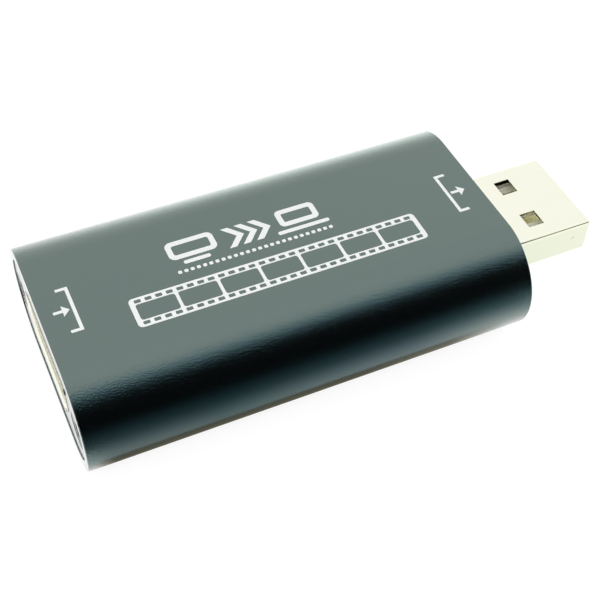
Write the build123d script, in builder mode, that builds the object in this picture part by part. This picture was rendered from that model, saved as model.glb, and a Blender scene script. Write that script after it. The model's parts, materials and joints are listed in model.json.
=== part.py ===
# Video capture stick. An extruded oval aluminium tube is closed by two screwed end plates.
# Inside, a circuit board lies in guide rails. It carries a 19-contact video socket at the
# input end and a four-contact type A plug at the output end.
# Frame: X runs from the input end to the plug, Y across, Z up. The origin lies on the
# resting plane, under the middle of the whole length. All lengths are in millimetres.

import os
from math import sqrt

from build123d import *

os.makedirs("parts", exist_ok=True)

# Tube: an oval extrusion with round sides
tube_length = 50.5
tube_width = 28.0
tube_height = 13.4
tube_wall = 1.2
tube_edge_break = 0.08

# Screw channels and board rails, drawn along the inside of the tube
channel_outer_radius = 1.75
channel_inset = 3.7            # from the tube's side to the channel's axis
channel_mouth_width = 0.9
rail_hold = 1.2                # how far a rail reaches over the board
rail_thickness = 0.7

# End plates and their self-tapping countersunk screws
plate_thickness = 1.2
plate_recess = 0.1
plate_clearance = 0.1
plate_opening_clearance = 0.2
screw_shank_radius = 0.9
screw_length = 6.0
screw_point_length = 0.9
screw_head_radius = 1.95
screw_hole_clearance = 0.15
screw_thread_clearance = 0.05
screw_head_clearance = 0.05
screw_angle = 90.0             # degrees, of the countersunk cone
recess_arm_length = 2.2
recess_arm_width = 0.45
recess_depth = 0.7
recess_core_radius = 0.4

# Circuit board
board_thickness = 1.2
board_floor_gap = 1.6
board_side_clearance = 0.35
board_end_clearance = 0.3
board_top_clearance = 0.15
board_corner_radius = 0.8
board_hole_clearance = 0.15
lead_protrusion = 0.6          # of legs and pegs below the board

# Input socket: outline of its mouth, wide at the top and narrower below
mouth_width = 14.0
mouth_height = 4.55
mouth_upright = 2.75           # height of the upright sides, from the top
mouth_slope_run = 1.65
mouth_slope_drop = 1.3
mouth_corner_radius = 0.45
socket_wall = 0.35
mouth_bevel = 0.22             # lead-in around the mouth, for the cable's plug
socket_depth = 11.2
socket_standoff = 0.3          # from the board to the shell
socket_tail_window = 3.0       # length that the shell leaves open below, at its back
socket_flap_drop = 1.2         # height of the shell's rear flap
socket_fit = 0.05
leg_length = 1.2
leg_front_setback = 2.6
leg_rear_setback = 8.6

# Spring fingers of the input socket's shell
finger_length = 3.9
finger_width = 1.8
finger_gap = 0.3
finger_thickness = 0.3
finger_dip = 0.55
finger_setback = 1.2           # from the mouth to the finger's window
finger_upper_spread = 6.6
finger_lower_spread = 5.0
finger_bend_radius = 0.4
finger_bow_share = 0.25        # of the finger's length, from its tip to its lowest point
finger_lift_share = 0.33       # of the finger's dip, left at its tip

# Housing, tongue and contacts of the input socket
tongue_width = 10.6
tongue_thickness = 1.5
tongue_setback = 1.1
tongue_drop = 2.3              # from the top of the mouth to the tongue's middle
tongue_tip_radius = 0.3
housing_block_length = 5.4
contact_pitch = 1.0
contact_width = 0.3
contact_thickness = 0.2
contact_side_clearance = 0.03
contact_tip_setback = 0.5      # from the tongue's tip
contact_foot_length = 0.9
contact_standout = 0.25        # of the tails behind the housing
upper_contact_count = 10
lower_contact_count = 9

# Output plug
plug_width = 12.0
plug_height = 4.5
plug_wall = 0.3
plug_corner_radius = 0.4
plug_front_radius = 0.12
plug_reach = 13.0
plug_seat_depth = 5.75         # of the shell inside the tube
plug_rise = 1.3                # of the plug's middle over the board's top
window_setback = 5.15          # from the plug's front edge
window_length = 2.0
window_width = 2.25
window_spread = 5.9
wing_length = 1.8
wing_setback = 0.9             # from the shell's rear edge
wing_reach = 1.3
seam_width = 0.08              # of the folded shell's joint, along its underside
seam_depth = 0.1
seam_lock_length = 2.4         # of the dovetail that locks the joint
seam_lock_reach = 0.9
seam_lock_flare = 0.35
seam_lock_setback = 8.6        # from the plug's front edge to the dovetail's middle
plug_fit = 0.05
blade_height = 1.95            # of the contact carrier's front part
blade_setback = 0.4
blade_side_gap = 0.6           # between the blade and the shell's sides
blade_edge_radius = 0.15
carrier_block_length = 5.0
plug_contact_width = 1.0
plug_contact_thickness = 0.2
plug_contact_sink = 0.1
plug_contact_side_clearance = 0.1
plug_contact_crease_width = 0.12   # coined along the middle of each contact
plug_contact_crease_depth = 0.06
power_contact_spread = 7.0
data_contact_spread = 2.0
power_contact_setback = 1.3    # from the plug's front edge
data_contact_lag = 1.0
plug_tail_bend_radius = 0.3
plug_tail_standout = 0.45
plug_tail_foot = 1.2

# Capture chip, a square flat package with terminals around its underside
chip_size = 9.0
chip_height = 0.9
chip_gap = 2.4                 # from the surge arrays
terminal_pitch = 0.5
terminal_count = 14            # on each side
terminal_width = 0.25
terminal_length = 0.45
terminal_height = 0.2
chip_mark_radius = 0.3
chip_mark_depth = 0.06
chip_mark_inset = 0.9          # from the package's sides to the mark's middle

# Surge protection arrays behind the input socket
surge_length = 1.0
surge_width = 2.5
surge_height = 0.5
surge_spread = 4.6
surge_gap = 1.2                # from the socket's tails
surge_lead_pitch = 0.5
surge_lead_count = 5
surge_lead_width = 0.2
surge_lead_reach = 0.25
surge_lead_thickness = 0.12

# Memory chip with four gull-wing leads on each side
memory_length = 4.9
memory_width = 3.9
memory_height = 1.5
memory_gap = 2.0               # from the capture chip
memory_offset = 1.4            # from the board's middle line to its near lead tips
memory_lead_pitch = 1.27
memory_lead_count = 4
memory_lead_width = 0.42
memory_lead_reach = 1.05
lead_thickness = 0.2
lead_foot = 0.45
package_standoff = 0.1
package_bevel_share = 0.2      # of the package's height

# Voltage regulator with three leads on one side and two on the other
regulator_length = 2.9
regulator_width = 1.6
regulator_height = 1.1
regulator_lead_pitch = 0.95
regulator_lead_width = 0.4
regulator_lead_reach = 0.6
regulator_foot = 0.3
regulator_near_leads = 3
regulator_far_leads = 2
regulator_offset = 2.2         # from the board's middle line to its near lead tips

# Crystal: a metal lid on a ceramic base
crystal_length = 3.2
crystal_width = 2.5
crystal_base_height = 0.5
crystal_lid_height = 0.25
crystal_lid_inset = 0.25
crystal_gap = 0.8              # from the capture chip
crystal_corner_radius = 0.2

# Power inductor
inductor_size = 3.0
inductor_height = 1.5
inductor_gap = 1.1             # from the regulator
inductor_corner_radius = 0.4
inductor_terminal_length = 0.5
inductor_terminal_height = 0.3

# Chip capacitors and chip resistors
capacitor_length = 1.6
capacitor_width = 0.8
capacitor_height = 0.8
capacitor_cap_length = 0.35
capacitor_count = 5            # in each row beside the capture chip
resistor_length = 1.0
resistor_width = 0.5
resistor_height = 0.35
resistor_cap_length = 0.2
resistor_pitch = 1.1
resistor_count = 6
passive_gap = 0.7              # from the package that a row stands beside

# One overrun serves all cuts
overrun = 1.0

# Places worked out from the sizes above
whole_length = tube_length + plug_reach
tube_start = -whole_length / 2
tube_end = tube_start + tube_length
plug_front = tube_end + plug_reach
tube_mid = tube_height / 2
tube_radius = tube_height / 2
inner_radius = tube_radius - tube_wall
channel_y = tube_width / 2 - channel_inset
channel_bore_radius = screw_shank_radius + screw_thread_clearance
rib_start = tube_start + plate_recess + plate_thickness
rib_end = tube_end - plate_recess - plate_thickness

board_underside = tube_wall + board_floor_gap
board_top = board_underside + board_thickness
lead_tip = board_underside - lead_protrusion


def inner_half_width(height):
    # half the clear width inside the tube at a height above the resting plane
    rise = abs(height - tube_mid)
    return tube_width / 2 - tube_radius + sqrt(max(inner_radius**2 - rise**2, 0))


board_half = inner_half_width(board_underside) - board_side_clearance
rail_edge = board_half - rail_hold
board_start = rib_start + board_end_clearance
board_end = rib_end - board_end_clearance

socket_front = tube_start
socket_back = socket_front + socket_depth
mouth_floor = board_top + socket_standoff + socket_wall
mouth_top = mouth_floor + mouth_height
mouth_half = mouth_width / 2
mouth_foot_half = mouth_half - mouth_slope_run
tongue_mid = mouth_top - tongue_drop
housing_front = socket_back - housing_block_length
contact_run_end = socket_back + contact_standout
socket_tail_end = contact_run_end + contact_foot_length

plug_back = tube_end - plug_seat_depth
plug_mid = board_top + plug_rise
plug_floor = plug_mid - plug_height / 2 + plug_wall
plug_tail_start = plug_back - plug_tail_standout - plug_tail_foot

surge_x = socket_tail_end + surge_gap + surge_lead_reach + surge_length / 2
chip_x = surge_x + surge_length / 2 + surge_lead_reach + chip_gap + chip_size / 2
memory_x = chip_x + chip_size / 2 + memory_gap + memory_length / 2
memory_y = memory_offset + memory_lead_reach + memory_width / 2
regulator_x = chip_x + chip_size / 2 + memory_gap + regulator_length / 2
regulator_y = -(regulator_offset + regulator_lead_reach + regulator_width / 2)
inductor_x = regulator_x + regulator_length / 2 + inductor_gap + inductor_size / 2
crystal_y = chip_size / 2 + crystal_gap + crystal_width / 2


def cross_plane(x, z=0):
    # plane across the tube: local x runs along Y, local y along Z, normal towards the plug
    return Plane(origin=(x, 0, z), x_dir=(0, 1, 0), z_dir=(1, 0, 0))


def side_plane(y=0):
    # plane along the tube: local x runs along X, local y along Z
    return Plane(origin=(0, y, 0), x_dir=(1, 0, 0), z_dir=(0, -1, 0))


def save(piece, name):
    piece.part.label = name
    export_step(piece.part, f"parts/{name}.step")


def mouth_section(x, growth):
    # the input socket's mouth outline, grown by a wall or a clearance
    with BuildSketch(cross_plane(x, mouth_floor)) as section:
        with BuildLine():
            Polyline(
                (-mouth_half, mouth_height),
                (mouth_half, mouth_height),
                (mouth_half, mouth_height - mouth_upright),
                (mouth_foot_half, mouth_height - mouth_upright - mouth_slope_drop),
                (mouth_foot_half, 0),
                (-mouth_foot_half, 0),
                (-mouth_foot_half, mouth_height - mouth_upright - mouth_slope_drop),
                (-mouth_half, mouth_height - mouth_upright),
                close=True,
            )
        make_face()
        fillet(section.vertices().group_by(Axis.Y)[-1], radius=mouth_corner_radius)
        offset(amount=growth, kind=Kind.INTERSECTION)
    return section.sketch


def plug_section(x, growth):
    # the output plug's outer outline, grown by a clearance or drawn in by its wall
    with BuildSketch(cross_plane(x, plug_mid)) as section:
        RectangleRounded(plug_width + 2 * growth, plug_height + 2 * growth, plug_corner_radius + growth)
    return section.sketch


# Body tube
with BuildPart() as body_tube:
    with BuildSketch(cross_plane(tube_start, tube_mid)):
        SlotOverall(tube_width, tube_height)
        SlotOverall(tube_width - 2 * tube_wall, tube_height - 2 * tube_wall, mode=Mode.SUBTRACT)
    extrude(amount=tube_length)
    with BuildSketch(cross_plane(rib_start, tube_mid)):
        for side in (-1, 1):
            rail_middle = side * (rail_edge + tube_width / 2) / 2
            rail_width = tube_width / 2 - rail_edge
            upper_rail_foot = board_top + board_top_clearance - tube_mid
            with Locations((side * channel_y, 0)):
                Circle(channel_outer_radius)
            with Locations((rail_middle, upper_rail_foot / 2)):
                Rectangle(rail_width, abs(upper_rail_foot))
            with Locations((rail_middle, board_underside - rail_thickness / 2 - tube_mid)):
                Rectangle(rail_width, rail_thickness)
            with Locations((side * (channel_y + tube_width / 2) / 2, 0)):
                Rectangle(channel_inset, 2 * channel_bore_radius)
        SlotOverall(tube_width - tube_wall, tube_height - tube_wall, mode=Mode.INTERSECT)
        for side in (-1, 1):
            with Locations((side * channel_y, 0)):
                Circle(channel_bore_radius, mode=Mode.SUBTRACT)
            with Locations((side * (channel_y - channel_outer_radius), 0)):
                Rectangle(2 * channel_outer_radius, channel_mouth_width, mode=Mode.SUBTRACT)
    extrude(amount=rib_end - rib_start)
    tube_ends = body_tube.faces().group_by(Axis.X)[0] + body_tube.faces().group_by(Axis.X)[-1]
    rim_edges = [face.outer_wire().edges() for face in tube_ends]
    chamfer([edge for edges in rim_edges for edge in edges], length=tube_edge_break)
save(body_tube, "body_tube")


# End plates, which drop into the tube and seat on the ends of its ribs
def end_plate(inner_x, outward, opening):
    width = tube_width - 2 * tube_wall - 2 * plate_clearance
    height = tube_height - 2 * tube_wall - 2 * plate_clearance
    outer_x = inner_x + outward * plate_thickness
    with BuildPart() as plate:
        with BuildSketch(cross_plane(inner_x, tube_mid)):
            SlotOverall(width, height)
        extrude(amount=outward * plate_thickness)
        extrude(opening, amount=outward * (plate_thickness + overrun), mode=Mode.SUBTRACT)
        outer_face = Plane(origin=(outer_x, 0, tube_mid), x_dir=(0, 1, 0), z_dir=(outward, 0, 0))
        with Locations(outer_face):
            with Locations((-channel_y, 0), (channel_y, 0)):
                CounterSinkHole(
                    radius=screw_shank_radius + screw_hole_clearance,
                    counter_sink_radius=screw_head_radius + screw_head_clearance,
                    counter_sink_angle=screw_angle,
                )
    return plate


input_end_plate = end_plate(rib_start, -1, mouth_section(rib_start, socket_wall + plate_opening_clearance))
save(input_end_plate, "input_end_plate")
output_end_plate = end_plate(rib_end, 1, plug_section(rib_end, plate_opening_clearance))
save(output_end_plate, "output_end_plate")


# Countersunk cross-head screws, one pair for each plate
def plate_screws(head_x, outward):
    shank_drop = screw_head_radius - screw_shank_radius
    point_drop = screw_length - screw_point_length
    with BuildPart() as screws:
        with BuildSketch(side_plane(channel_y)):
            with BuildLine():
                Polyline(
                    (head_x, tube_mid),
                    (head_x, tube_mid + screw_head_radius),
                    (head_x - outward * shank_drop, tube_mid + screw_shank_radius),
                    (head_x - outward * point_drop, tube_mid + screw_shank_radius),
                    (head_x - outward * screw_length, tube_mid),
                    close=True,
                )
            make_face()
        revolve(axis=Axis((head_x, channel_y, tube_mid), (outward, 0, 0)))
        head_plane = Plane(origin=(head_x, channel_y, tube_mid), x_dir=(0, 1, 0), z_dir=(outward, 0, 0))
        with BuildSketch(head_plane):
            Rectangle(recess_arm_length, recess_arm_width)
            Rectangle(recess_arm_width, recess_arm_length)
            Circle(recess_core_radius)
        extrude(amount=-recess_depth, mode=Mode.SUBTRACT)
        mirror(about=Plane.XZ)
    return screws


input_plate_screws = plate_screws(tube_start + plate_recess + screw_head_clearance, -1)
save(input_plate_screws, "input_plate_screws")
output_plate_screws = plate_screws(tube_end - plate_recess - screw_head_clearance, 1)
save(output_plate_screws, "output_plate_screws")


# Circuit board, notched at the output end for the plug
leg_middles = [socket_front + setback + leg_length / 2 for setback in (leg_front_setback, leg_rear_setback)]
leg_y = mouth_half + socket_wall / 2
wing_middle = plug_back + wing_setback + wing_length / 2
peg_y = plug_width / 2 + wing_reach - plug_wall / 2
with BuildPart() as circuit_board:
    with BuildSketch(Plane.XY.offset(board_underside)) as board_outline:
        with Locations(((board_start + board_end) / 2, 0)):
            RectangleRounded(board_end - board_start, 2 * board_half, board_corner_radius)
        notch_length = board_end - plug_back + board_hole_clearance
        with Locations((board_end - notch_length / 2 + overrun / 2, 0)):
            Rectangle(notch_length + overrun, plug_width + 2 * plug_fit, mode=Mode.SUBTRACT)
        for leg_x in leg_middles:
            with Locations((leg_x, -leg_y), (leg_x, leg_y)):
                Rectangle(
                    leg_length + 2 * board_hole_clearance,
                    socket_wall + 2 * board_hole_clearance,
                    mode=Mode.SUBTRACT,
                )
        with Locations((wing_middle, -peg_y), (wing_middle, peg_y)):
            Rectangle(
                wing_length + 2 * board_hole_clearance,
                plug_wall + 2 * board_hole_clearance,
                mode=Mode.SUBTRACT,
            )
    extrude(amount=board_thickness)
save(circuit_board, "circuit_board")


# Input socket shell: a folded ring with a rear flap, spring fingers and four legs
def finger_window(spread, height, through):
    # cuts the two windows that the fingers are bent out of
    middle = socket_front + finger_setback + (finger_length + finger_gap) / 2
    with BuildSketch(Plane.XY.offset(height)) as windows:
        with Locations((middle, -spread / 2), (middle, spread / 2)):
            Rectangle(finger_length + finger_gap, finger_width + 2 * finger_gap)
    extrude(windows.sketch, amount=through, mode=Mode.SUBTRACT)


def finger_pair(spread, wall_middle, inward):
    # bent strips, rooted at the rear edge of their windows and dipping into the mouth
    tip = socket_front + finger_setback + finger_gap
    root = tip + finger_length
    for y in (-spread / 2, spread / 2):
        with BuildSketch(side_plane(y)) as strip:
            with BuildLine() as bend:
                FilletPolyline(
                    (root + finger_gap, wall_middle),
                    (root - finger_gap, wall_middle),
                    (tip + finger_length * finger_bow_share, wall_middle + inward * finger_dip),
                    (tip, wall_middle + inward * finger_dip * finger_lift_share),
                    radius=finger_bend_radius,
                )
            trace(bend.line, line_width=finger_thickness)
        extrude(strip.sketch, amount=finger_width / 2, both=True)


with BuildPart() as input_socket_shell:
    extrude(mouth_section(socket_front, socket_wall), amount=socket_depth)
    extrude(mouth_section(socket_front, 0), amount=socket_depth, mode=Mode.SUBTRACT)
    mouth_rim = input_socket_shell.faces().sort_by(Axis.X)[0].inner_wires()[0]
    chamfer(mouth_rim.edges(), length=mouth_bevel)
    with BuildSketch(cross_plane(socket_back - socket_wall, mouth_top - socket_flap_drop / 2)) as flap:
        Rectangle(mouth_width, socket_flap_drop)
    extrude(flap.sketch, amount=socket_wall)
    shoulder = mouth_top - mouth_upright
    with BuildSketch(side_plane()) as tail_window:
        with Locations((socket_back - socket_tail_window / 2, (shoulder + board_top) / 2)):
            Rectangle(socket_tail_window, shoulder - board_top)
    extrude(tail_window.sketch, amount=mouth_half + socket_wall, both=True, mode=Mode.SUBTRACT)
    finger_window(finger_upper_spread, mouth_top - overrun, 2 * overrun)
    finger_window(finger_lower_spread, mouth_floor - overrun, 2 * overrun)
    finger_pair(finger_upper_spread, mouth_top + socket_wall / 2, -1)
    finger_pair(finger_lower_spread, mouth_floor - socket_wall / 2, 1)
    with BuildSketch(Plane.XY.offset(lead_tip)) as legs:
        for leg_x in leg_middles:
            with Locations((leg_x, -leg_y), (leg_x, leg_y)):
                Rectangle(leg_length, socket_wall)
    extrude(legs.sketch, amount=shoulder + socket_wall - lead_tip)
save(input_socket_shell, "input_socket_shell")

# Input socket housing: a rear block, the tongue in the mouth, and grooves for the contacts
groove_width = contact_width + 2 * contact_side_clearance
upper_contact_z = tongue_mid + tongue_thickness / 2 - contact_thickness / 2
lower_contact_z = tongue_mid - tongue_thickness / 2 + contact_thickness / 2
tongue_tip = socket_front + tongue_setback
with BuildPart() as input_socket_housing:
    block_length = housing_block_length - socket_wall
    extrude(mouth_section(housing_front, -socket_fit), amount=block_length)
    with BuildSketch(side_plane()) as back_foot:
        foot_start = socket_back - socket_tail_window + socket_fit
        foot_top = mouth_top - socket_flap_drop - socket_fit
        with Locations(((foot_start + socket_back) / 2, (foot_top + board_top) / 2)):
            Rectangle(socket_back - foot_start, foot_top - board_top)
    extrude(back_foot.sketch, amount=mouth_foot_half - socket_fit, both=True)
    with BuildSketch(side_plane()) as tongue:
        with Locations(((tongue_tip + housing_front) / 2, tongue_mid)):
            Rectangle(housing_front - tongue_tip, tongue_thickness)
        fillet(tongue.vertices().group_by(Axis.X)[0], radius=tongue_tip_radius)
    extrude(tongue.sketch, amount=tongue_width / 2, both=True)
    for count, height in ((upper_contact_count, upper_contact_z), (lower_contact_count, lower_contact_z)):
        groove_start = tongue_tip + contact_tip_setback
        groove_length = socket_back - groove_start + overrun
        with BuildSketch(cross_plane(groove_start, height)) as grooves:
            with GridLocations(contact_pitch, 0, count, 1):
                Rectangle(groove_width, contact_thickness)
        extrude(grooves.sketch, amount=groove_length, mode=Mode.SUBTRACT)
save(input_socket_housing, "input_socket_housing")


# Input socket contacts: each runs along the tongue, through the block and down to the board
def socket_contacts(count, height):
    tip = tongue_tip + contact_tip_setback
    foot_z = board_top + contact_thickness / 2
    with BuildPart() as contacts:
        with BuildSketch(side_plane()) as strip:
            with BuildLine() as path:
                Polyline(
                    (tip, height),
                    (contact_run_end, height),
                    (contact_run_end, foot_z),
                    (socket_tail_end, foot_z),
                )
            trace(path.line, line_width=contact_thickness)
        with GridLocations(0, contact_pitch, 1, count):
            add(extrude(strip.sketch, amount=contact_width / 2, both=True, mode=Mode.PRIVATE))
    return contacts


input_socket_upper_contacts = socket_contacts(upper_contact_count, upper_contact_z)
save(input_socket_upper_contacts, "input_socket_upper_contacts")
input_socket_lower_contacts = socket_contacts(lower_contact_count, lower_contact_z)
save(input_socket_lower_contacts, "input_socket_lower_contacts")

# Output plug shell: a folded ring with two windows above, two below, and soldered wings
with BuildPart() as output_plug_shell:
    shell_length = plug_front - plug_back
    extrude(plug_section(plug_back, 0), amount=shell_length)
    front_edges = output_plug_shell.faces().sort_by(Axis.X)[-1].edges()
    fillet(front_edges, radius=plug_front_radius)
    extrude(plug_section(plug_back, -plug_wall), amount=shell_length, mode=Mode.SUBTRACT)
    window_x = plug_front - window_setback - window_length / 2
    with BuildSketch(Plane.XY.offset(plug_mid)) as windows:
        with Locations((window_x, 0)):
            with GridLocations(0, window_spread, 1, 2):
                Rectangle(window_length, window_width)
    extrude(windows.sketch, amount=plug_height, both=True, mode=Mode.SUBTRACT)
    seam_plane = Plane.XY.offset(plug_mid - plug_height / 2)
    with BuildSketch(seam_plane) as seam:
        lock_x = plug_front - seam_lock_setback
        with BuildLine() as seam_line:
            Polyline(
                (plug_back - overrun, 0),
                (lock_x - seam_lock_length / 2 + seam_lock_flare, 0),
                (lock_x - seam_lock_length / 2, seam_lock_reach),
                (lock_x + seam_lock_length / 2, seam_lock_reach),
                (lock_x + seam_lock_length / 2 - seam_lock_flare, 0),
                (plug_front + overrun, 0),
            )
        trace(seam_line.line, line_width=seam_width)
    extrude(seam.sketch, amount=seam_depth, mode=Mode.SUBTRACT)
    with BuildSketch(cross_plane(wing_middle - wing_length / 2)) as wings:
        for side in (-1, 1):
            with BuildLine():
                Polyline(
                    (side * (plug_width / 2 - plug_wall), board_top),
                    (side * (plug_width / 2 + wing_reach - plug_wall), board_top),
                    (side * (plug_width / 2 + wing_reach - plug_wall), lead_tip),
                    (side * (plug_width / 2 + wing_reach), lead_tip),
                    (side * (plug_width / 2 + wing_reach), board_top + plug_wall),
                    (side * (plug_width / 2 - plug_wall), board_top + plug_wall),
                    close=True,
                )
            make_face()
    extrude(wings.sketch, amount=wing_length)
save(output_plug_shell, "output_plug_shell")

# Output plug carrier: a full block at the back and a half-height blade with four grooves
blade_top = plug_floor + blade_height
power_y = power_contact_spread / 2
data_y = data_contact_spread / 2
groove_floor = blade_top - plug_contact_sink - plug_contact_thickness
power_tip = plug_front - power_contact_setback
data_tip = power_tip - data_contact_lag
with BuildPart() as output_plug_carrier:
    extrude(plug_section(plug_back, -plug_wall - plug_fit), amount=carrier_block_length)
    block_end = plug_back + carrier_block_length
    with BuildSketch(cross_plane(block_end, plug_mid)) as blade:
        blade_width = plug_width - 2 * plug_wall - 2 * blade_side_gap
        with Locations((0, (plug_floor + plug_fit + blade_top) / 2 - plug_mid)):
            Rectangle(blade_width, blade_height - plug_fit)
        fillet(blade.vertices(), radius=blade_edge_radius)
    extrude(blade.sketch, amount=plug_front - blade_setback - block_end)
    for y, tip in ((-power_y, power_tip), (-data_y, data_tip), (data_y, data_tip), (power_y, power_tip)):
        with BuildSketch(side_plane(y)) as groove:
            with Locations(((plug_back + tip) / 2, groove_floor + plug_contact_thickness / 2)):
                Rectangle(tip - plug_back, plug_contact_thickness)
            with Locations(((block_end + tip) / 2, (groove_floor + blade_top + plug_fit) / 2)):
                Rectangle(tip - block_end, blade_top + plug_fit - groove_floor)
        groove_half = plug_contact_width / 2 + plug_contact_side_clearance
        extrude(groove.sketch, amount=groove_half, both=True, mode=Mode.SUBTRACT)
save(output_plug_carrier, "output_plug_carrier")

# Output plug contacts: the outer pair for power is longer than the inner pair for data
with BuildPart() as output_plug_contacts:
    run_z = groove_floor + plug_contact_thickness / 2
    foot_z = board_top + plug_contact_thickness / 2
    for y, tip in ((-power_y, power_tip), (-data_y, data_tip), (data_y, data_tip), (power_y, power_tip)):
        with BuildSketch(side_plane(y)) as strip:
            with BuildLine() as path:
                FilletPolyline(
                    (tip, run_z),
                    (plug_back - plug_tail_standout, run_z),
                    (plug_back - plug_tail_standout, foot_z),
                    (plug_tail_start, foot_z),
                    radius=plug_tail_bend_radius,
                )
            trace(path.line, line_width=plug_contact_thickness)
        extrude(strip.sketch, amount=plug_contact_width / 2, both=True)
        with BuildSketch(Plane.XY.offset(run_z + plug_contact_thickness / 2)) as crease:
            with Locations(((block_end + tip) / 2, y)):
                Rectangle(tip - block_end, plug_contact_crease_width)
        extrude(crease.sketch, amount=-plug_contact_crease_depth, mode=Mode.SUBTRACT)
save(output_plug_contacts, "output_plug_contacts")

# Capture chip: its underside is stepped back around the edge for the terminals
with BuildPart() as capture_chip:
    with BuildSketch(Plane.XY.offset(board_top)):
        with Locations((chip_x, 0)):
            Rectangle(chip_size - 2 * terminal_length, chip_size - 2 * terminal_length)
    extrude(amount=terminal_height)
    with BuildSketch(Plane.XY.offset(board_top + terminal_height)):
        with Locations((chip_x, 0)):
            Rectangle(chip_size, chip_size)
    extrude(amount=chip_height - terminal_height)
    with BuildSketch(Plane.XY.offset(board_top + chip_height)):
        mark_y = chip_size / 2 - chip_mark_inset
        with Locations((chip_x - mark_y, mark_y)):
            Circle(chip_mark_radius)
    extrude(amount=-chip_mark_depth, mode=Mode.SUBTRACT)
save(capture_chip, "capture_chip")

with BuildPart() as capture_chip_terminals:
    with BuildSketch(Plane.XY.offset(board_top)):
        with Locations((chip_x, 0)):
            with GridLocations(terminal_pitch, chip_size - terminal_length, terminal_count, 2):
                Rectangle(terminal_width, terminal_length)
            with GridLocations(chip_size - terminal_length, terminal_pitch, 2, terminal_count):
                Rectangle(terminal_length, terminal_width)
    extrude(amount=terminal_height)
save(capture_chip_terminals, "capture_chip_terminals")


# Gull-wing leads: a bent strip from the package's side down to its foot on the board
def gull_lead(body_half, height, reach, width, thickness, foot):
    shelf = board_top + package_standoff + height / 2
    foot_z = board_top + thickness / 2
    knee = body_half + reach - foot
    with BuildPart() as lead:
        with BuildSketch(Plane.YZ):
            with BuildLine() as path:
                Polyline(
                    (body_half, shelf),
                    ((body_half + knee) / 2, shelf),
                    (knee, foot_z),
                    (body_half + reach, foot_z),
                )
            trace(path.line, line_width=thickness)
        extrude(amount=width / 2, both=True)
    return lead.part


def package(x, y, length, width, height):
    # a moulded package on its standoff, with edges drawn in towards its top
    with BuildPart() as body:
        with BuildSketch(Plane.XY.offset(board_top + package_standoff)):
            with Locations((x, y)):
                Rectangle(length, width)
        extrude(amount=height)
        chamfer(body.faces().sort_by(Axis.Z)[-1].edges(), length=height * package_bevel_share)
    return body


# Surge protection arrays
surge_places = [(surge_x, -surge_spread / 2), (surge_x, surge_spread / 2)]
with BuildPart() as surge_arrays:
    with BuildSketch(Plane.XY.offset(board_top + surge_lead_thickness)):
        with Locations(*surge_places):
            Rectangle(surge_length, surge_width)
    extrude(amount=surge_height - surge_lead_thickness)
save(surge_arrays, "surge_arrays")

with BuildPart() as surge_array_leads:
    with BuildSketch(Plane.XY.offset(board_top)):
        lead_length = 2 * surge_lead_reach
        with Locations(*surge_places):
            with GridLocations(surge_length, surge_lead_pitch, 2, surge_lead_count):
                Rectangle(lead_length, surge_lead_width)
    extrude(amount=surge_lead_thickness)
save(surge_array_leads, "surge_array_leads")

# Memory chip
memory_chip = package(memory_x, memory_y, memory_length, memory_width, memory_height)
save(memory_chip, "memory_chip")

memory_lead = gull_lead(
    memory_width / 2, memory_height, memory_lead_reach, memory_lead_width, lead_thickness, lead_foot
)
with BuildPart() as memory_chip_leads:
    with Locations((memory_x, memory_y)):
        with GridLocations(memory_lead_pitch, 0, memory_lead_count, 1):
            add(memory_lead)
            add(memory_lead.rotate(Axis.Z, 180))
save(memory_chip_leads, "memory_chip_leads")

# Voltage regulator
voltage_regulator = package(regulator_x, regulator_y, regulator_length, regulator_width, regulator_height)
save(voltage_regulator, "voltage_regulator")

regulator_lead = gull_lead(
    regulator_width / 2,
    regulator_height,
    regulator_lead_reach,
    regulator_lead_width,
    lead_thickness,
    regulator_foot,
)
with BuildPart() as voltage_regulator_leads:
    with Locations((regulator_x, regulator_y)):
        with GridLocations(regulator_lead_pitch, 0, regulator_near_leads, 1):
            add(regulator_lead)
        with GridLocations(2 * regulator_lead_pitch, 0, regulator_far_leads, 1):
            add(regulator_lead.rotate(Axis.Z, 180))
save(voltage_regulator_leads, "voltage_regulator_leads")

# Crystal
with BuildPart() as crystal_base:
    with BuildSketch(Plane.XY.offset(board_top)):
        with Locations((chip_x, crystal_y)):
            RectangleRounded(crystal_length, crystal_width, crystal_corner_radius)
    extrude(amount=crystal_base_height)
save(crystal_base, "crystal_base")

with BuildPart() as crystal_lid:
    with BuildSketch(Plane.XY.offset(board_top + crystal_base_height)):
        with Locations((chip_x, crystal_y)):
            RectangleRounded(
                crystal_length - 2 * crystal_lid_inset,
                crystal_width - 2 * crystal_lid_inset,
                crystal_corner_radius,
            )
    extrude(amount=crystal_lid_height)
save(crystal_lid, "crystal_lid")

# Power inductor: a square drum on two end terminals
with BuildPart() as power_inductor:
    with BuildSketch(Plane.XY.offset(board_top + inductor_terminal_height)):
        with Locations((inductor_x, regulator_y)):
            RectangleRounded(inductor_size, inductor_size, inductor_corner_radius)
    extrude(amount=inductor_height - inductor_terminal_height)
save(power_inductor, "power_inductor")

with BuildPart() as inductor_terminals:
    with BuildSketch(Plane.XY.offset(board_top)):
        with Locations((inductor_x, regulator_y)):
            with GridLocations(inductor_size - inductor_terminal_length, 0, 2, 1):
                Rectangle(inductor_terminal_length, inductor_size - 2 * inductor_corner_radius)
    extrude(amount=inductor_terminal_height)
save(inductor_terminals, "inductor_terminals")


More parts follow.
